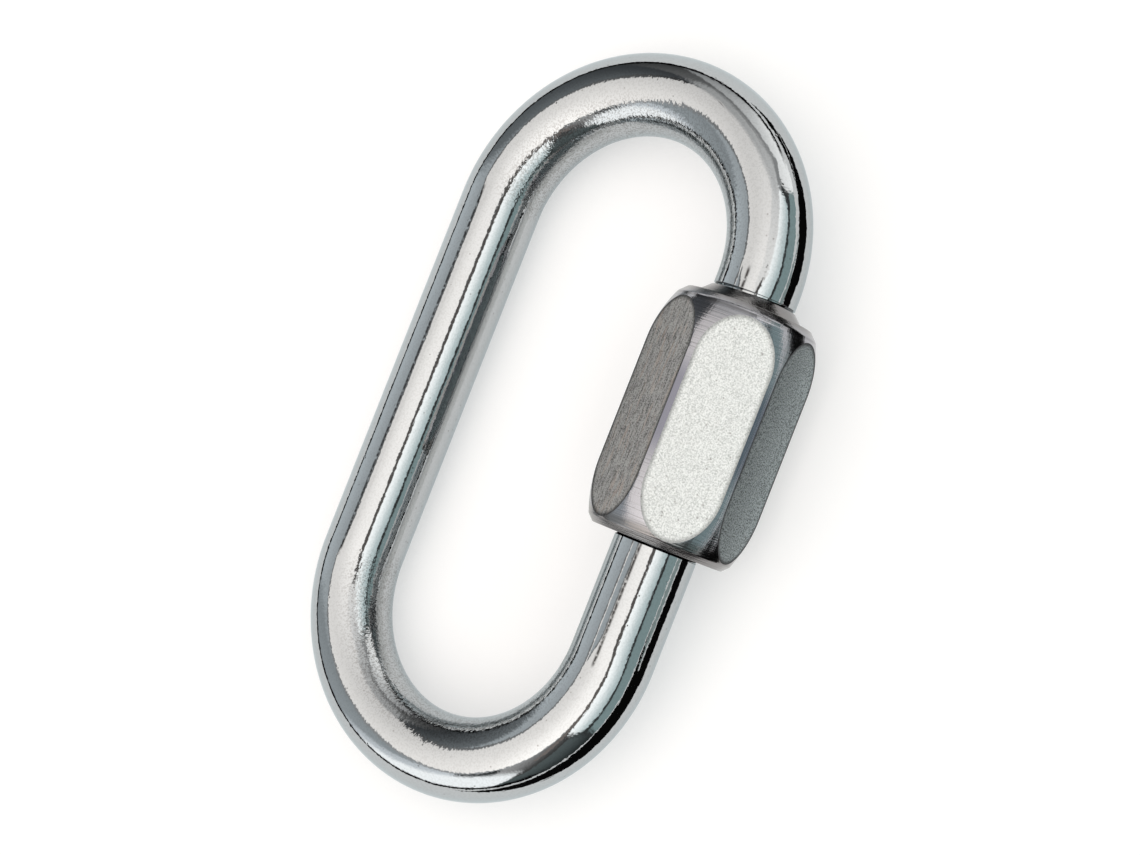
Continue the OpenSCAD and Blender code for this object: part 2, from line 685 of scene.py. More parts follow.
    def _wide_bore(self) -> bmesh.types.BMesh:
        """Turns the cutter of the lower bore, which clears the plain rod.

        Returns:
            The cutter.
        """
        lay = self.layout
        radius = lay.rod_radius + self.slide_clearance
        low = lay.nut_low - self.nose_height
        high = lay.nut_low + lay.travel + self.seat_clearance
        outline = [(0.0, low), (radius, low), (radius, high), (0.0, high)]
        return Solid.lathe(outline, lay.leg_x, self.segments // 2)

    def _mark_faces(self, bm: bmesh.types.BMesh) -> None:
        """Gives each pair of opposite flats its own finish, then the turned faces, then the flats' rims,
        which carry painted shade.

        Args:
            bm: The finished nut's mesh.
        """
        flats = set()
        for face in bm.faces:
            face.material_index = NutFace.TURNED
            middle = face.calc_center_median()
            out = Vector((middle.x - self.layout.leg_x, 0.0, middle.z))
            on_flat = abs(out.dot(face.normal) - self.flat_radius) < self.flat_tolerance
            if on_flat and face.calc_area() > self.smallest_flat:
                angle = math.atan2(face.normal.x, face.normal.z) - math.radians(self.turn_degrees)
                face.material_index = round((angle - HALF_SIDE) / (2 * HALF_SIDE)) % FLAT_PAIRS
                flats.add(face)
        for edge in {edge for flat in flats for edge in flat.edges}:
            for face in edge.link_faces:
                if face not in flats:
                    face.material_index = NutFace.SHADED_RIM


class Nodes:
    """A node tree under construction, with short ways to add and join nodes."""

    def __init__(self, tree: bpy.types.NodeTree) -> None:
        """Starts from an empty tree."""
        self.tree = tree
        tree.nodes.clear()

    def add(self, kind: str, inputs: dict | None = None, **settings: object) -> bpy.types.Node:
        """Adds a node.

        Args:
            kind: Blender's name of the node.
            inputs: Socket name or number to a value, or to a socket to link from.
            settings: Properties of the node.

        Returns:
            The new node.
        """
        node = self.tree.nodes.new(kind)
        for name, value in settings.items():
            setattr(node, name, value)
        for key, value in (inputs or {}).items():
            if isinstance(value, bpy.types.NodeSocket):
                self.tree.links.new(value, node.inputs[key])
            else:
                node.inputs[key].default_value = value
        return node

    def math(self, operation: str, *values: object, clamp: bool = False) -> bpy.types.NodeSocket:
        """Adds a Math node and returns its output."""
        node = self.add("ShaderNodeMath", dict(enumerate(values)), operation=operation, use_clamp=clamp)
        return node.outputs[0]

    def vector_math(self, operation: str, *values: object) -> bpy.types.NodeSocket:
        """Adds a Vector Math node and returns its vector."""
        return self.add("ShaderNodeVectorMath", dict(enumerate(values)), operation=operation).outputs[0]

    def scaled(self, vector: object, factor: object) -> bpy.types.NodeSocket:
        """Multiplies a vector or colour by a number and returns the result."""
        return self.add("ShaderNodeVectorMath", {0: vector, "Scale": factor}, operation="SCALE").outputs[0]

    def ramp(self, value: object, low: float, high: float, start: float = 0.0, end: float = 1.0) -> object:
        """Maps a value smoothly from one range to another.

        Args:
            value: The socket to map.
            low: The value that gives start.
            high: The value that gives end.
            start: Result at and before low.
            end: Result at and past high.

        Returns:
            The mapped value.
        """
        node = self.add(
            "ShaderNodeMapRange",
            {"Value": value, "From Min": low, "From Max": high, "To Min": start, "To Max": end},
            interpolation_type="SMOOTHSTEP")
        return node.outputs["Result"]

    def mix(self, share: object, first: object, second: object) -> bpy.types.NodeSocket:
        """Mixes two colours.

        Args:
            share: Share of the second colour.
            first: A colour, or a socket with one.
            second: A colour, or a socket with one.

        Returns:
            The mixed colour.
        """
        node = self.add("ShaderNodeMix", {"Factor": share}, data_type="RGBA")
        for socket, value in ((node.inputs[6], first), (node.inputs[7], second)):
            if isinstance(value, bpy.types.NodeSocket):
                self.tree.links.new(value, socket)
            else:
                socket.default_value = (*value, 1.0)
        return node.outputs[2]

    def largest(self, values: Sequence[bpy.types.NodeSocket]) -> bpy.types.NodeSocket:
        """Joins masks to one that is as strong as the strongest of them.

        Args:
            values: The masks.

        Returns:
            The joined mask.
        """
        result = values[0]
        for value in values[1:]:
            result = self.math("MAXIMUM", result, value)
        return result

    def bump(self, *layers: tuple[object, object]) -> bpy.types.NodeSocket:
        """Adds a Bump node over a sum of layers.

        Args:
            layers: Pairs of a height and its depth in millimetres.

        Returns:
            The bumped normal.
        """
        height: object = 0.0
        for value, depth in layers:
            height = self.math("MULTIPLY_ADD", value, depth, height)
        return self.add("ShaderNodeBump", {"Height": height, "Strength": 1.0, "Distance": MM}).outputs[0]

    def metal(self, colour: object, roughness: object, **more: object) -> None:
        """Ends a material in a metal shader.

        Args:
            colour: The metal's colour, or a socket with it.
            roughness: Its roughness, or a socket with it.
            more: Other inputs of the shader, with an underscore for a space.
        """
        inputs = {label.replace("_", " "): value for label, value in more.items()}
        shader = self.add(
            "ShaderNodeBsdfPrincipled",
            {"Base Color": colour, "Metallic": 1.0, "Roughness": roughness, **inputs})
        self.add("ShaderNodeOutputMaterial", {"Surface": shader.outputs[0]})


@dataclass(frozen=True)
class Effect:
    """A shader node group, with its named inputs and one output."""

    name: str
    inputs: tuple[str, ...]
    output: str
    draw: Callable[[Nodes, dict], bpy.types.NodeSocket]

    def make(self) -> bpy.types.NodeTree:
        """Builds the group.

        Returns:
            The group's node tree, which takes a vector and its numbers.
        """
        tree = bpy.data.node_groups.new(self.name, "ShaderNodeTree")
        tree.interface.new_socket("Vector", in_out="INPUT", socket_type="NodeSocketVector")
        for label in self.inputs:
            tree.interface.new_socket(label, in_out="INPUT", socket_type="NodeSocketFloat")
        tree.interface.new_socket(self.output, in_out="OUTPUT", socket_type="NodeSocketFloat")
        nodes = Nodes(tree)
        given = nodes.add("NodeGroupInput")
        result = self.draw(nodes, {socket.name: socket for socket in given.outputs if socket.name})
        nodes.add("NodeGroupOutput", {self.output: result})
        return tree


def dots(nodes: Nodes, given: dict, vector: bpy.types.NodeSocket) -> bpy.types.NodeSocket:
    """Draws a dot in a share of the cells of a cellular pattern.

    Args:
        nodes: The group's nodes.
        given: The group's inputs by name.
        vector: The pattern's coordinates.

    Returns:
        The dots' mask.
    """
    cells = nodes.add("ShaderNodeTexVoronoi", {"Vector": vector, "Scale": given["Scale"], "Randomness": 1.0})
    pick = nodes.add("ShaderNodeSeparateColor", {"Color": cells.outputs["Color"]}).outputs[0]
    kept = nodes.math("LESS_THAN", pick, given["Share"])
    reach = nodes.math("DIVIDE", cells.outputs["Distance"], given["Size"], clamp=True)
    return nodes.math("MULTIPLY", nodes.math("SUBTRACT", 1.0, reach), kept)


def draw_nicks(nodes: Nodes, given: dict) -> bpy.types.NodeSocket:
    """Draws short straight dashes, as dots that are drawn out one way.

    Args:
        nodes: The group's nodes.
        given: The group's inputs by name.

    Returns:
        The dashes' mask.
    """
    turned = nodes.add(
        "ShaderNodeVectorRotate", {"Vector": given["Vector"], "Axis": NICK_AXIS, "Angle": given["Turn"]},
        rotation_type="AXIS_ANGLE")
    return dots(nodes, given, nodes.vector_math("MULTIPLY", turned.outputs[0], NICK_STRETCH))


def draw_pits(nodes: Nodes, given: dict) -> bpy.types.NodeSocket:
    """Draws small round dots."""
    return dots(nodes, given, given["Vector"])


def draw_grain(nodes: Nodes, given: dict) -> bpy.types.NodeSocket:
    """Draws uneven grain about a height of nothing.

    Args:
        nodes: The group's nodes.
        given: The group's inputs by name.

    Returns:
        The grain's height.
    """
    noise = nodes.add("ShaderNodeTexNoise", {
        "Vector": given["Vector"], "Scale": given["Scale"], "Detail": given["Detail"],
        "Roughness": GRAIN_ROUGHNESS})
    return nodes.math("SUBTRACT", noise.outputs["Fac"], 0.5)


def axis_radius(nodes: Nodes, parts: bpy.types.NodeOutputs) -> bpy.types.NodeSocket:
    """Distance from the Y axis."""
    squares = [nodes.math("MULTIPLY", parts[name], parts[name]) for name in ("X", "Z")]
    return nodes.math("SQRT", nodes.math("ADD", *squares))


def draw_shaded_rim(nodes: Nodes, given: dict) -> bpy.types.NodeSocket:
    """Draws a thin line of painted shade on the nut's flats, where its turned form ends them.

    Args:
        nodes: The group's nodes.
        given: The group's inputs by name.

    Returns:
        The line's mask.
    """
    parts = nodes.add("ShaderNodeSeparateXYZ", {"Vector": given["Vector"]}).outputs
    reach = axis_radius(nodes, parts)
    for side, end in ((-1.0, "Lower"), (1.0, "Upper")):
        past = nodes.math("SUBTRACT", nodes.math("MULTIPLY", parts["Y"], side), given[f"{end} Start"])
        past = nodes.math("MAXIMUM", past, 0.0)
        sweep = given[f"{end} Sweep"]
        squares = [nodes.math("MULTIPLY", length, length) for length in (sweep, past)]
        rest = nodes.math("SUBTRACT", *squares)
        reach = nodes.math("ADD", reach, nodes.math("SUBTRACT", sweep, nodes.math("SQRT", rest)))
    return nodes.ramp(nodes.math("SUBTRACT", given["Corner"], reach), given["Width"], 0.0)


NICKS = Effect("straight_nicks", ("Scale", "Size", "Share", "Turn"), "Mask", draw_nicks)
PITS = Effect("small_pits", ("Scale", "Size", "Share"), "Mask", draw_pits)
GRAIN = Effect("metal_grain", ("Scale", "Detail"), "Height", draw_grain)
# Mask of the thin line of painted shade round each flat.
SHADED_RIM = Effect(
    "shaded_flat_rim", ("Corner", "Width", "Lower Start", "Lower Sweep", "Upper Start", "Upper Sweep"),
    "Mask", draw_shaded_rim)


@dataclass(frozen=True)
class Marks:
    """Dents of one kind: pits, or nicks that lie at a turn."""

    scale: float
    size: float
    share: float
    turn: float | None = None


class Workshop:
    """Holds the node groups, so that each is built once and placed in every finish that uses it."""

    def __init__(self) -> None:
        """Builds the groups."""
        self.groups = {effect.name: effect.make() for effect in (NICKS, PITS, GRAIN, SHADED_RIM)}

    def place(self, nodes: Nodes, effect: Effect, vector: object, **values: float) -> bpy.types.NodeSocket:
        """Places an effect in a material.

        Args:
            nodes: The material's nodes.
            effect: The effect to place.
            vector: The socket with the pattern's coordinates.
            values: Values of the effect's inputs.

        Returns:
            The effect's output.
        """
        node = nodes.add("ShaderNodeGroup", node_tree=self.groups[effect.name])
        nodes.tree.links.new(vector, node.inputs["Vector"])
        for label, value in values.items():
            node.inputs[label].default_value = value
        return node.outputs[effect.output]

    def grain(self, nodes: Nodes, vector: object, scale: float, detail: float = 1.0) -> bpy.types.NodeSocket:
        """Places grain of the given scale and detail in a material."""
        return self.place(nodes, GRAIN, vector, Scale=scale, Detail=detail)

    def damage(self, nodes: Nodes, vector: object, kinds: Sequence[Marks]) -> bpy.types.NodeSocket:
        """Places several kinds of dents in a material.

        Args:
            nodes: The material's nodes.
            vector: The socket with the pattern's coordinates.
            kinds: The kinds of dents.

        Returns:
            The mask of all dents.
        """
        masks = []
        for kind in kinds:
            values = {"Scale": kind.scale, "Size": kind.size, "Share": kind.share}
            if kind.turn is None:
                masks.append(self.place(nodes, PITS, vector, **values))
            else:
                masks.append(self.place(nodes, NICKS, vector, **values, Turn=kind.turn))
        return nodes.largest(masks)


def new_material(name: str) -> tuple[bpy.types.Material, Nodes]:
    """Starts a node material.

    Args:
        name: Name of the material.

    Returns:
        The material and its empty nodes.
    """
    material = bpy.data.materials.new(name)
    material.use_nodes = True
    return material, Nodes(material.node_tree)


@dataclass(frozen=True)
class PolishedRod:
    """Bright drawn and polished stainless rod, with nicks, and rougher where it was bent inwards.

    Its inner bends get more dark speckle, partly dust and partly painted shade, and each leg gets a painted
    dark reflection line. Scales count per metre, and depths are in millimetres.
    """

    steel: Colour = (0.455, 0.475, 0.485)
    # Colour of dust, damage and the painted shade on the inner bends.
    worn_and_shaded: Colour = (0.17, 0.16, 0.15)
    # Colour of the painted dark reflection line along each leg.
    line: Colour = (0.035, 0.033, 0.032)
    edge_tint: Colour = (0.80, 0.86, 0.88)
    roughness: float = 0.045
    bend_range: tuple[float, float] = (0.1, 0.75)
    bend_roughness: float = 0.05
    strip_start: float = -0.19 * MM
    strip_end: float = 0.68 * MM
    strip_run_out: float = 3.6 * MM
    # Width, fade-in and breaking up of the painted dark reflection line.
    dark_reflection_half_width: float = 0.24 * MM
    dark_reflection_slope: float = 0.04
    dark_reflection_break: float = 1.6
    dark_reflection_break_end: float = 0.6
    peel_scale: float = 2700.0
    peel_depth: float = 0.0065
    bend_peel_depth: float = 0.017
    wave_scale: float = 420.0
    wave_depth: float = 0.016
    draw_scale: float = 4200.0
    draw_detail: float = 1.5
    draw_stretch: tuple[float, float, float] = (1.0, 1.0, 0.12)
    draw_depth: float = 0.0022
    dust_scale: float = 5200.0
    dust_range: tuple[float, float] = (-0.06, 0.14)
    dust_share: float = 0.10
    # Extra dark speckle on inner bends: partly dust, partly painted shade.
    bend_dust_and_shade_share: float = 0.42
    damage_depth: float = 0.007
    damage_shade: float = 0.8
    damage: tuple[Marks, ...] = (
        Marks(1300.0, 0.09, 0.16, turn=0.25),
        Marks(1000.0, 0.08, 0.10, turn=1.1),
        Marks(1500.0, 0.20, 0.12),
    )

    def _strip(self, nodes: Nodes) -> tuple[bpy.types.NodeSocket, bpy.types.NodeSocket]:
        """Draws the strip that is pressed flat along each straight leg.

        Args:
            nodes: The material's nodes.

        Returns:
            The strip's height and the mask of the painted dark reflection line on it.
        """
        strip = nodes.add("ShaderNodeAttribute", attribute_name="flat_strip").outputs["Vector"]
        place = nodes.add("ShaderNodeSeparateXYZ", {"Vector": strip}).outputs
        width = (self.strip_end - self.strip_start) / MM
        slopes = []
        for low, high in ((self.strip_start, self.strip_end), (self.strip_end, self.strip_run_out)):
            slopes.append(nodes.add("ShaderNodeMapRange", {
                "Value": place["X"], "From Min": low, "From Max": high,
                "To Min": 0.0, "To Max": width}).outputs["Result"])
        height = nodes.math("MULTIPLY", nodes.math("SUBTRACT", *slopes), place["Y"])
        line = nodes.ramp(nodes.math("ABSOLUTE", place["Z"]), self.dark_reflection_half_width, 0.0)
        return height, nodes.math("MULTIPLY", line, nodes.ramp(place["Y"], 0.0, self.dark_reflection_slope))

    def material(self, shop: Workshop) -> bpy.types.Material:
        """Builds the finish.

        Args:
            shop: The shared node groups.

        Returns:
            The material.
        """
        material, nodes = new_material("polished_rod")
        place = nodes.add("ShaderNodeAttribute", attribute_name="unrolled").outputs["Vector"]
        bend = nodes.add("ShaderNodeAttribute", attribute_name="inner_bend").outputs["Fac"]
        bend = nodes.ramp(bend, *self.bend_range)
        drawn = nodes.vector_math("MULTIPLY", place, self.draw_stretch)
        peel = shop.grain(nodes, place, self.peel_scale)
        wave = shop.grain(nodes, place, self.wave_scale)
        lines = shop.grain(nodes, drawn, self.draw_scale, self.draw_detail)
        damage = shop.damage(nodes, place, self.damage)
        strip, line = self._strip(nodes)
        peel_depth = nodes.math("MULTIPLY_ADD", bend, self.bend_peel_depth, self.peel_depth)
        normal = nodes.bump(
            (peel, peel_depth), (wave, self.wave_depth), (lines, self.draw_depth),
            (damage, -self.damage_depth), (strip, 1.0))
        # Dark speckle: dust everywhere, and on the inner bends a larger share that is partly painted shade.
        dust_and_shade = nodes.ramp(shop.grain(nodes, place, self.dust_scale), *self.dust_range)
        dust_share = nodes.math("MULTIPLY_ADD", bend, self.bend_dust_and_shade_share, self.dust_share)
        dust_and_shade = nodes.math("MULTIPLY", dust_and_shade, dust_share)
        worn_and_shaded = nodes.math("MAXIMUM", dust_and_shade, nodes.math("MULTIPLY", damage, self.damage_shade))
        # The painted dark reflection line, broken up by the peel grain, goes over the steel.
        broken = nodes.math("MULTIPLY_ADD", peel, self.dark_reflection_break, 0.5)
        broken = nodes.ramp(broken, 0.0, self.dark_reflection_break_end)
        colour = nodes.mix(worn_and_shaded, self.steel, self.worn_and_shaded)
        colour = nodes.mix(nodes.math("MULTIPLY", line, broken), colour, self.line)
        roughness = nodes.math("MULTIPLY_ADD", bend, self.bend_roughness, self.roughness)
        nodes.metal(colour, roughness, Specular_Tint=(*self.edge_tint, 1.0), Normal=normal)
        return material


@dataclass(frozen=True)
class NutFinish:
    """What the finishes of the nut share: the nut's own coordinates."""

    nut: SleeveNut

    def coordinates(self, nodes: Nodes) -> bpy.types.NodeSocket:
        """Places Object coordinates on the nut.

        Args:
            nodes: The material's nodes.

        Returns:
            Coordinates centred on the nut, with Y along its axis.
        """
        place = nodes.add("ShaderNodeTexCoord").outputs["Object"]
        turn = (0.0, -self.nut.layout.tilt, 0.0)
        mapping = nodes.add(
            "ShaderNodeMapping", {"Vector": place, "Location": self.nut.centre, "Rotation": turn},
            vector_type="TEXTURE")
        return mapping.outputs[0]


@dataclass(frozen=True)
class MilledFlat(NutFinish):
    """A flat of the nut, with grain, brush lines along the axis, pits, nicks and a thin line of painted shade
    round it.

    Its own values are those of the satin flats. Scales count per metre, and depths are in millimetres.
    """

    name: str = "satin_flat"
    steel: Colour = (0.72, 0.735, 0.725)
    grainy: Colour = (0.38, 0.395, 0.388)
    streak: Colour = (0.58, 0.59, 0.58)
    pitted: Colour = (0.12, 0.105, 0.095)
    # Colour of the thin line of painted shade round the flat.
    shaded_rim_line: Colour = (0.016, 0.018, 0.020)
    roughness: float = 0.34
    line_roughness: float = 0.12
    grain_scale: float = 7000.0
    grain_share: float = 2.6
    grain_depth: float = 0.007
    line_scale: float = 5400.0
    line_detail: float = 2.0
    line_stretch: tuple[float, float, float] = (1.0, 0.14, 1.0)
    line_share: float = 0.7
    line_depth: float = 0.003
    speckle_middle: float = 0.35
    streak_scale: float = 2800.0
    streak_range: tuple[float, float] = (0.04, 0.2)
    streak_share: float = 0.2
    rim_width: float = 0.20 * MM
    rim_share: float = 0.5
    damage_depth: float = 0.010
    damage_shade: float = 0.8
    damage: tuple[Marks, ...] = (
        Marks(1500.0, 0.20, 0.22),
        Marks(700.0, 0.075, 0.20, turn=1.5),
        Marks(600.0, 0.06, 0.16, turn=0.5),
    )

    def _rim(self, shop: Workshop, nodes: Nodes, place: bpy.types.NodeSocket) -> bpy.types.NodeSocket:
        """Places the thin line of painted shade round the flat.

        Args:
            shop: The shared node groups.
            nodes: The material's nodes.
            place: The nut's own coordinates.

        Returns:
            The line's mask.
        """
        nut = self.nut
        lower_end = (nut.layout.nose_tip - nut.layout.nut_low) / 2
        upper_end = lower_end - nut.nose_height
        values = {
            "Corner": nut.corner_radius, "Width": self.rim_width,
            "Lower Start": lower_end - nut.crown_length, "Lower Sweep": nut.sweep(nut.lower_drop),
            "Upper Start": upper_end - nut.crown_length, "Upper Sweep": nut.sweep(nut.upper_drop),
        }
        return nodes.math("MULTIPLY", shop.place(nodes, SHADED_RIM, place, **values), self.rim_share)

    def material(self, shop: Workshop) -> bpy.types.Material:
        """Builds the finish.

        Args:
            shop: The shared node groups.

        Returns:
            The material.
        """
        material, nodes = new_material(self.name)
        place = self.coordinates(nodes)
        brushed = nodes.vector_math("MULTIPLY", place, self.line_stretch)
        lines = shop.grain(nodes, brushed, self.line_scale, self.line_detail)
        broad = shop.grain(nodes, brushed, self.streak_scale)
        grain = shop.grain(nodes, place, self.grain_scale)
        damage = shop.damage(nodes, place, self.damage)
        normal = nodes.bump(
            (lines, self.line_depth), (grain, self.grain_depth), (damage, -self.damage_depth))
        speckle = nodes.math("MULTIPLY", lines, self.line_share)
        speckle = nodes.math("MULTIPLY_ADD", grain, self.grain_share, speckle)
        speckle = nodes.math("ADD", speckle, self.speckle_middle, clamp=True)
        colour = nodes.mix(speckle, self.steel, self.grainy)
        streaks = nodes.math("MULTIPLY", nodes.ramp(broad, *self.streak_range), self.streak_share)
        colour = nodes.mix(streaks, colour, self.streak)
        colour = nodes.mix(nodes.math("MULTIPLY", damage, self.damage_shade), colour, self.pitted)
        # The thin line of painted shade round the flat goes over the colour.
        colour = nodes.mix(self._rim(shop, nodes, place), colour, self.shaded_rim_line)
        roughness = nodes.math("MULTIPLY_ADD", lines, self.line_roughness, self.roughness)
        nodes.metal(colour, roughness, Normal=normal)
        return material


@dataclass(frozen=True)
class GrainyShadedFlat(MilledFlat):
    """The coarse flats, whose darker steel, speckle and streak colours are painted shade."""

    name: str = "grainy_shaded_flat"
    # Darker than the satin flats' colours: painted shade.
    steel: Colour = (0.37, 0.42, 0.43)
    grainy: Colour = (0.065, 0.081, 0.083)
    streak: Colour = (0.21, 0.24, 0.245)
    roughness: float = 0.42
    grain_share: float = 4.2
    grain_depth: float = 0.009
    line_share: float = 0.4
    line_depth: float = 0.002
    rim_share: float = 1.0


@dataclass(frozen=True)
class BrushedShadedFlat(MilledFlat):
    """The flats that are brushed along the axis, with brown streaks, and darker steel and speckle colours
    that are painted shade.
    """

    name: str = "brushed_shaded_flat"
    # Darker than the satin flats' colours: painted shade.
    steel: Colour = (0.48, 0.47, 0.455)
    grainy: Colour = (0.105, 0.101, 0.097)
    streak: Colour = (0.52, 0.41, 0.345)
    roughness: float = 0.36
    grain_share: float = 2.4
    grain_depth: float = 0.008
    line_share: float = 2.0
    line_depth: float = 0.010
    streak_share: float = 0.45
    rim_share: float = 0.9


@dataclass(frozen=True)
class TurnedEnd(NutFinish):
    """Turned ends with fine grooves round the axis, duller drawn corners between them, and painted shade that
    darkens the last of each end, the end faces and the nose.

    Starts are measured from the nut's middle. Scales count per metre, and depths are in millimetres.
    """

    steel: Colour = (0.385, 0.39, 0.415)
    groove: Colour = (0.15, 0.145, 0.14)
    drawn: Colour = (0.205, 0.21, 0.25)
    # Colour of the painted shade towards both ends.
    painted_end_shade: Colour = (0.20, 0.19, 0.18)
    roughness: float = 0.15
    groove_roughness: float = 0.1
    groove_spacing: float = 0.19 * MM
    groove_detail: float = 3.0
    groove_depth: float = 0.018
    groove_low: float = -0.25
    groove_share: float = 0.4
    crown_start: float = 6.4 * MM
    crown_ease: float = 4.0 * MM
    # Where the painted shade on the ends starts, how fast it comes in and how strong it gets.
    end_start: float = 10.3 * MM
    end_ease: float = 0.9 * MM
    end_share: float = 0.75
    line_scale: float = 5200.0
    line_stretch: tuple[float, float, float] = (1.0, 0.05, 1.0)
    line_depth: float = 0.008
    grain_scale: float = 3000.0
    grain_detail: float = 1.5
    grain_depth: float = 0.001
    pit_depth: float = 0.003
    pits: tuple[Marks, ...] = (Marks(2400.0, 0.2, 0.12),)

    def material(self, shop: Workshop) -> bpy.types.Material:
        """Builds the finish.

        Args:
            shop: The shared node groups.

        Returns:
            The material.
        """
        material, nodes = new_material("turned_end")
        place = self.coordinates(nodes)
        parts = nodes.add("ShaderNodeSeparateXYZ", {"Vector": place}).outputs
        from_middle = nodes.math("ABSOLUTE", parts["Y"])
        on_crown = nodes.ramp(from_middle, self.crown_start - self.crown_ease, self.crown_start)
        end_shade_mask = nodes.ramp(from_middle, self.end_start, self.end_start + self.end_ease, 0.0, self.end_share)
        feed = nodes.math("ADD", axis_radius(nodes, parts), parts["Y"])
        feed = nodes.math("DIVIDE", feed, self.groove_spacing)
        uneven = nodes.add(
            "ShaderNodeTexNoise", {"W": feed, "Scale": 1.0, "Detail": self.groove_detail},
            noise_dimensions="1D")
        groove = nodes.math("SUBTRACT", uneven.outputs["Fac"], 0.5)
        groove = nodes.math("MULTIPLY", groove, on_crown)
        along = nodes.vector_math("MULTIPLY", place, self.line_stretch)
        lines = shop.grain(nodes, along, self.line_scale)
        grain = shop.grain(nodes, place, self.grain_scale, self.grain_detail)
        pits = shop.damage(nodes, place, self.pits)
        normal = nodes.bump(
            (groove, self.groove_depth), (lines, self.line_depth), (grain, self.grain_depth),
            (pits, -self.pit_depth))
        shade = nodes.math("MAXIMUM", pits, nodes.ramp(groove, 0.0, self.groove_low, 0.0, self.groove_share))
        colour = nodes.mix(on_crown, self.drawn, nodes.mix(shade, self.steel, self.groove))
        # Painted shade darkens the nut towards both ends.
        colour = nodes.mix(end_shade_mask, colour, self.painted_end_shade)
        roughness = nodes.math("MULTIPLY_ADD", groove, self.groove_roughness, self.roughness)
        nodes.metal(colour, roughness, Normal=normal)
        return material


@dataclass(frozen=True)
class ShadedFlatRim(NutFinish):
    """The rounded edge of each flat, painted near black as shade."""

    # Near-black colour: painted shade along the flats' edges.
    steel: Colour = (0.05, 0.05, 0.052)
    roughness: float = 0.35

    def material(self, shop: Workshop) -> bpy.types.Material:
        """Builds the finish.

        Args:
            shop: The shared node groups, which are not used.

        Returns:
            The material, which needs none of them.
        """
        material, nodes = new_material("shaded_flat_rim")
        nodes.metal((*self.steel, 1.0), self.roughness)
        return material


@dataclass(frozen=True)
class Panel:
    """A light or dark panel on the studio's dome.

    Its place is given in degrees: across is the angle round the legs' axis from overhead, towards the gate
    leg, and along is the slope towards the upper bow. Its colour runs from first to last one way, and its
    strength fades the other way.
    """

    name: str
    across: tuple[float, float]
    along: tuple[float, float]
    first: Colour
    last: Colour
    run: Run = Run.ALONG
    fade: tuple[float, float] = (1.0, 1.0)
    corner: float = 2.0
    soft: float = 0.8
    turn: float = 0.0


@dataclass(frozen=True)
class Flag:
    """A sheet on the floor, from its low to its high corner, with sides that lean by X over Y."""

    name: str
    low: tuple[float, float]
    high: tuple[float, float]
    lean: float = 0.0
    colour: Colour = (0.004, 0.004, 0.004)


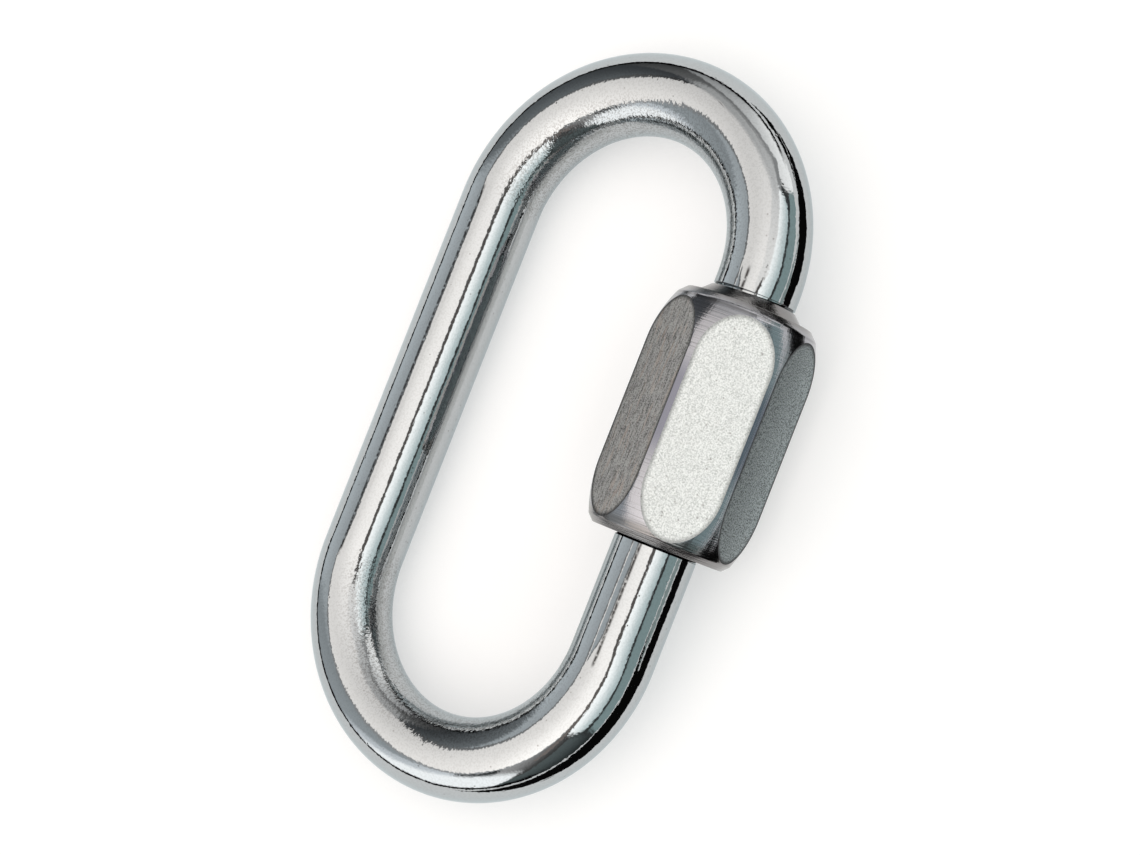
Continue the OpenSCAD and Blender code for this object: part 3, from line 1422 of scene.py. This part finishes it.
@dataclass(frozen=True)
class Studio:
    """A dome of soft panels round the link, over a pale floor."""

    base: Colour = (0.06, 0.065, 0.065)
    skirt_rise: tuple[float, float] = (0.065, 0.135)
    skirt_end: tuple[float, float] = (0.30, 0.50)
    floor_half: float = 3.0
    floor_white: float = 0.58
    floor_fill: float = 0.44
    flag_height: float = 0.2 * MM
    flags: tuple[Flag, ...] = (
        Flag("lower_gate_flag", (4.5 * MM, -162.0 * MM), (230.0 * MM, -22.0 * MM), lean=0.35),
        Flag("gate_flag", (28.0 * MM, -22.0 * MM), (57.0 * MM, 22.0 * MM)),
        Flag("upper_gate_flag", (21.0 * MM, 22.0 * MM), (63.0 * MM, 60.0 * MM), lean=-0.29),
        Flag("upper_flag", (8.0 * MM, 62.0 * MM), (34.0 * MM, 122.0 * MM), lean=-0.2),
        Flag("loop_card", (-5.0 * MM, -21.0 * MM), (11.0 * MM, 21.0 * MM), colour=(0.80, 0.82, 0.82)),
        Flag("far_card", (69.0 * MM, -22.0 * MM), (260.0 * MM, 62.0 * MM), colour=(0.34, 0.41, 0.41)),
    )
    panels: tuple[Panel, ...] = (
        Panel("left_wall", (-110.0, -40.0), (-40.0, 47.0), (0.56, 0.60, 0.62), (0.07, 0.075, 0.08), soft=3.0),
        Panel(
            "left_strip", (-110.0, -34.0), (-10.0, 9.0), (0.92, 0.98, 1.01), (0.60, 0.635, 0.655),
            run=Run.ACROSS, soft=3.0),
        Panel("left_low", (-88.0, -30.0), (-64.0, -36.0), (1.50, 1.52, 1.55), (0.98, 1.02, 1.06), soft=3.0),
        Panel(
            "upper_wall", (-120.0, 110.0), (50.0, 110.0), (0.30, 0.30, 0.305), (1.75, 1.72, 1.68),
            run=Run.ACROSS, soft=2.0),
        Panel(
            "upper_dark", (-110.0, 40.0), (43.0, 60.0), (0.04, 0.04, 0.04), (0.46, 0.455, 0.45),
            run=Run.ACROSS, soft=2.0),
        Panel("right_card", (67.0, 110.0), (-36.0, 50.0), (0.38, 0.50, 0.50), (0.38, 0.50, 0.50), soft=2.0),
        Panel(
            "side_box", (25.0, 61.0), (-37.0, 45.0), (2.05, 2.04, 2.00), (0.86, 1.00, 1.00),
            run=Run.ACROSS, fade=(1.04, 0.98), corner=10.0, soft=1.4),
        Panel(
            "lower_dark", (34.0, 112.0), (-86.0, -39.0), (0.16, 0.19, 0.19), (0.006, 0.008, 0.008),
            run=Run.ACROSS, soft=2.0),
        Panel(
            "lower_brown", (-6.0, 37.0), (-70.0, -36.0), (0.66, 0.64, 0.63), (0.10, 0.098, 0.095),
            run=Run.ACROSS, fade=(1.0, 0.85), soft=2.0),
        Panel(
            "lower_box", (-92.0, 30.0), (-92.0, -53.0), (1.85, 1.85, 1.84), (1.85, 1.85, 1.84),
            turn=-11.0, corner=10.0, soft=5.0),
        Panel("round_rim", (-47.5, 22.5), (-49.0, 54.0), (0.60, 0.60, 0.60), (0.01, 0.01, 0.01), corner=31.0),
        Panel(
            "round_box", (-44.0, 20.0), (-46.0, 51.0), (2.20, 2.07, 1.97), (1.37, 1.30, 1.25),
            fade=(0.80, 1.04), corner=28.0),
        Panel(
            "round_box_side", (10.0, 32.0), (8.0, 48.0), (1.50, 1.44, 1.39), (1.10, 1.07, 1.05),
            corner=9.0, soft=2.5),
        Panel(
            "upper_shade", (-44.0, 28.0), (38.0, 54.0), (0.62, 0.61, 0.60), (0.95, 0.93, 0.91),
            run=Run.ACROSS, corner=8.0, soft=5.0),
        Panel(
            "box_gap", (19.5, 26.5), (-50.0, 12.0), (0.34, 0.29, 0.265), (0.16, 0.145, 0.135),
            turn=-5.0, corner=3.0, soft=1.4),
    )

    def build(self) -> None:
        """Makes the dome, the floor and the flags."""
        self._dome()
        self._floor()
        self._flags()

    def _panel_mask(self) -> bpy.types.NodeTree:
        """Builds the group that masks a rounded, turned panel on the dome.

        Returns:
            The group's node tree.
        """
        tree = bpy.data.node_groups.new("panel_mask", "ShaderNodeTree")
        labels = (
            "Across", "Along", "Middle Across", "Middle Along", "Half Across", "Half Along",
            "Corner", "Soft", "Turn",
        )
        for label in labels:
            tree.interface.new_socket(label, in_out="INPUT", socket_type="NodeSocketFloat")
        tree.interface.new_socket("Mask", in_out="OUTPUT", socket_type="NodeSocketFloat")
        nodes = Nodes(tree)
        given = nodes.add("NodeGroupInput").outputs
        across = nodes.math("SUBTRACT", given["Across"], given["Middle Across"])
        along = nodes.math("SUBTRACT", given["Along"], given["Middle Along"])
        cosine, sine = nodes.math("COSINE", given["Turn"]), nodes.math("SINE", given["Turn"])
        turned_across = nodes.math("MULTIPLY_ADD", along, sine, nodes.math("MULTIPLY", across, cosine))
        turned_along = nodes.math("MULTIPLY", along, cosine)
        turned_along = nodes.math("SUBTRACT", turned_along, nodes.math("MULTIPLY", across, sine))
        sides = []
        for turned, half in ((turned_across, "Half Across"), (turned_along, "Half Along")):
            inner = nodes.math("SUBTRACT", given[half], given["Corner"])
            sides.append(nodes.math("SUBTRACT", nodes.math("ABSOLUTE", turned), inner))
        outside = [nodes.math("MAXIMUM", side, 0.0) for side in sides]
        squares = [nodes.math("MULTIPLY", side, side) for side in outside]
        reach = nodes.math("SQRT", nodes.math("ADD", *squares))
        inside = nodes.math("MINIMUM", nodes.math("MAXIMUM", sides[0], sides[1]), 0.0)
        gap = nodes.math("SUBTRACT", nodes.math("ADD", reach, inside), given["Corner"])
        mask = nodes.ramp(gap, given["Soft"], nodes.math("MULTIPLY", given["Soft"], -1.0))
        nodes.add("NodeGroupOutput", {"Mask": mask})
        return tree

    def _dome(self) -> None:
        """Paints the panels on the world, one over the other."""
        world = bpy.data.worlds.new("studio")
        bpy.context.scene.world = world
        world.use_nodes = True
        nodes = Nodes(world.node_tree)
        group = self._panel_mask()
        ray = nodes.add("ShaderNodeTexCoord").outputs["Generated"]
        way = nodes.add("ShaderNodeSeparateXYZ", {"Vector": ray}).outputs
        across = nodes.math("DEGREES", nodes.math("ARCTAN2", way["X"], way["Z"]))
        along = nodes.math("DEGREES", nodes.math("ARCSINE", way["Y"]))
        colour: object = self.base
        for panel in self.panels:
            colour = self._paint(nodes, group, panel, across, along, colour)
        skirts = (nodes.ramp(way["Z"], *self.skirt_rise), nodes.ramp(way["X"], *self.skirt_end))
        colour = nodes.scaled(colour, nodes.largest(skirts))
        background = nodes.add("ShaderNodeBackground", {"Color": colour, "Strength": 1.0})
        nodes.add("ShaderNodeOutputWorld", {"Surface": background.outputs[0]})

    def _paint(
        self, nodes: Nodes, group: bpy.types.NodeTree, panel: Panel,
        across: bpy.types.NodeSocket, along: bpy.types.NodeSocket, under: object,
    ) -> bpy.types.NodeSocket:
        """Paints one panel over what is under it.

        Args:
            nodes: The world's nodes.
            group: The group that masks a panel.
            panel: The panel to paint.
            across: Angle round the legs' axis.
            along: Slope towards the upper bow.
            under: The colour that is under the panel.

        Returns:
            The colour with the panel.
        """
        middle = [(low + high) / 2 for low, high in (panel.across, panel.along)]
        half = [(high - low) / 2 for low, high in (panel.across, panel.along)]
        wrapped = nodes.math("WRAP", across, middle[0] + 180.0, middle[0] - 180.0)
        values = {
            "Across": wrapped, "Along": along, "Middle Across": middle[0], "Middle Along": middle[1],
            "Half Across": half[0], "Half Along": half[1], "Corner": panel.corner, "Soft": panel.soft,
            "Turn": math.radians(panel.turn),
        }
        mask = nodes.add("ShaderNodeGroup", values, node_tree=group)
        shares = [nodes.ramp(wrapped, *panel.across), nodes.ramp(along, *panel.along)]
        if panel.run is Run.ALONG:
            shares.reverse()
        colour = nodes.mix(shares[0], panel.first, panel.last)
        if panel.fade != (1.0, 1.0):
            colour = nodes.scaled(colour, nodes.ramp(shares[1], 0.0, 1.0, *panel.fade))
        return nodes.mix(mask.outputs["Mask"], under, colour)

    def _sheet(
        self, name: str, low: tuple[float, float], high: tuple[float, float], height: float,
        lean: float = 0.0,
    ) -> bpy.types.Object:
        """Lays a flat sheet as part of the stage.

        Args:
            name: Name of the sheet.
            low: Its least X and Y.
            high: Its greatest X and Y.
            height: Height that it lies at.
            lean: How far its sides lean, as X over Y.

        Returns:
            The sheet, without a material.
        """
        bm = bmesh.new()
        middle = ((low[0] + high[0]) / 2, (low[1] + high[1]) / 2, height)
        size = Matrix.Diagonal(((high[0] - low[0]) / 2, (high[1] - low[1]) / 2, 1.0, 1.0))
        skew = Matrix.Identity(4)
        skew[0][1] = lean
        bmesh.ops.create_grid(
            bm, x_segments=1, y_segments=1, size=1.0, matrix=Matrix.Translation(middle) @ skew @ size)
        mesh = bpy.data.meshes.new(name)
        bm.to_mesh(mesh)
        bm.free()
        sheet = bpy.data.objects.new(name, mesh)
        bpy.context.scene.collection.objects.link(sheet)
        return sheet

    def _floor(self) -> None:
        """Lays the pale floor, which keeps the link's shadow."""
        floor = self._sheet("floor", (-self.floor_half,) * 2, (self.floor_half,) * 2, 0.0)
        material, nodes = new_material("pale_floor")
        matt = nodes.add("ShaderNodeBsdfDiffuse", {"Color": (*[self.floor_white] * 3, 1.0)})
        path = nodes.add("ShaderNodeLightPath").outputs
        seen = nodes.math("MAXIMUM", path["Is Camera Ray"], path["Is Glossy Ray"])
        seen = nodes.math("MAXIMUM", seen, path["Is Transmission Ray"])
        fill = nodes.add("ShaderNodeEmission", {"Strength": nodes.math("MULTIPLY", seen, self.floor_fill)})
        both = nodes.add("ShaderNodeAddShader", {0: matt.outputs[0], 1: fill.outputs[0]})
        nodes.add("ShaderNodeOutputMaterial", {"Surface": both.outputs[0]})
        floor.data.materials.append(material)

    def _flags(self) -> None:
        """Lays the sheets round and inside the link, which only the metal sees."""
        for flag in self.flags:
            material, nodes = new_material(flag.name)
            matt = nodes.add("ShaderNodeBsdfDiffuse", {"Color": (*flag.colour, 1.0)})
            nodes.add("ShaderNodeOutputMaterial", {"Surface": matt.outputs[0]})
            sheet = self._sheet(flag.name, flag.low, flag.high, self.flag_height, flag.lean)
            sheet.data.materials.append(material)
            sheet.visible_camera = False
            sheet.visible_diffuse = False
            sheet.visible_shadow = False


@dataclass(frozen=True)
class PhotoCamera:
    """The photograph's camera, as it was fitted to the rod's outline."""

    azimuth: float = 87.245
    elevation: float = 66.288
    roll: float = -65.926
    distance: float = 234.55 * MM
    lens: float = 77.79
    sensor_width: float = 36.0
    clip_start: float = 10.0 * MM
    shift_right: float = 15.06
    shift_up: float = -4.32

    def build(self, target: Vector) -> None:
        """Places the camera and makes it the scene's own.

        Args:
            target: The middle of the link.
        """
        data = bpy.data.cameras.new("photo_camera")
        data.lens = self.lens
        data.sensor_width = self.sensor_width
        data.clip_start = self.clip_start
        data.shift_x = self.shift_right / PHOTO_WIDTH
        data.shift_y = self.shift_up / PHOTO_WIDTH
        camera = bpy.data.objects.new("photo_camera", data)
        bpy.context.scene.collection.objects.link(camera)
        azimuth, elevation = math.radians(self.azimuth), math.radians(self.elevation)
        level = Vector((math.sin(azimuth), -math.cos(azimuth), 0.0))
        back = level * math.cos(elevation) + Vector((0.0, 0.0, math.sin(elevation)))
        turn = (-back).to_track_quat("-Z", "Y").to_matrix().to_4x4()
        roll = Matrix.Rotation(math.radians(self.roll), 4, "Z")
        camera.matrix_world = Matrix.Translation(target + back * self.distance) @ turn @ roll
        bpy.context.scene.camera = camera


def main() -> None:
    """Builds and dresses the link, then its studio and camera."""
    logging.basicConfig(level=logging.INFO, format="%(name)s: %(message)s")
    bpy.context.scene.view_settings.view_transform = "Standard"
    layout = Layout.from_frame(rod_radius=ROD_RADIUS)
    thread = Thread()
    shop = Workshop()
    for assembly in (LinkBody(layout, thread), SleeveNut(layout, thread)):
        piece = assembly.build()
        assembly.dress(piece, shop)
        LOG.info("%s: %d faces", piece.name, len(piece.data.polygons))
    studio = Studio()
    studio.build()
    LOG.info("studio: %d panels and %d sheets", len(studio.panels), len(studio.flags))
    PhotoCamera().build((layout.gate_axis + layout.plain_axis) / 2)
    LOG.info("camera placed")


if __name__ == "__main__":
    main()
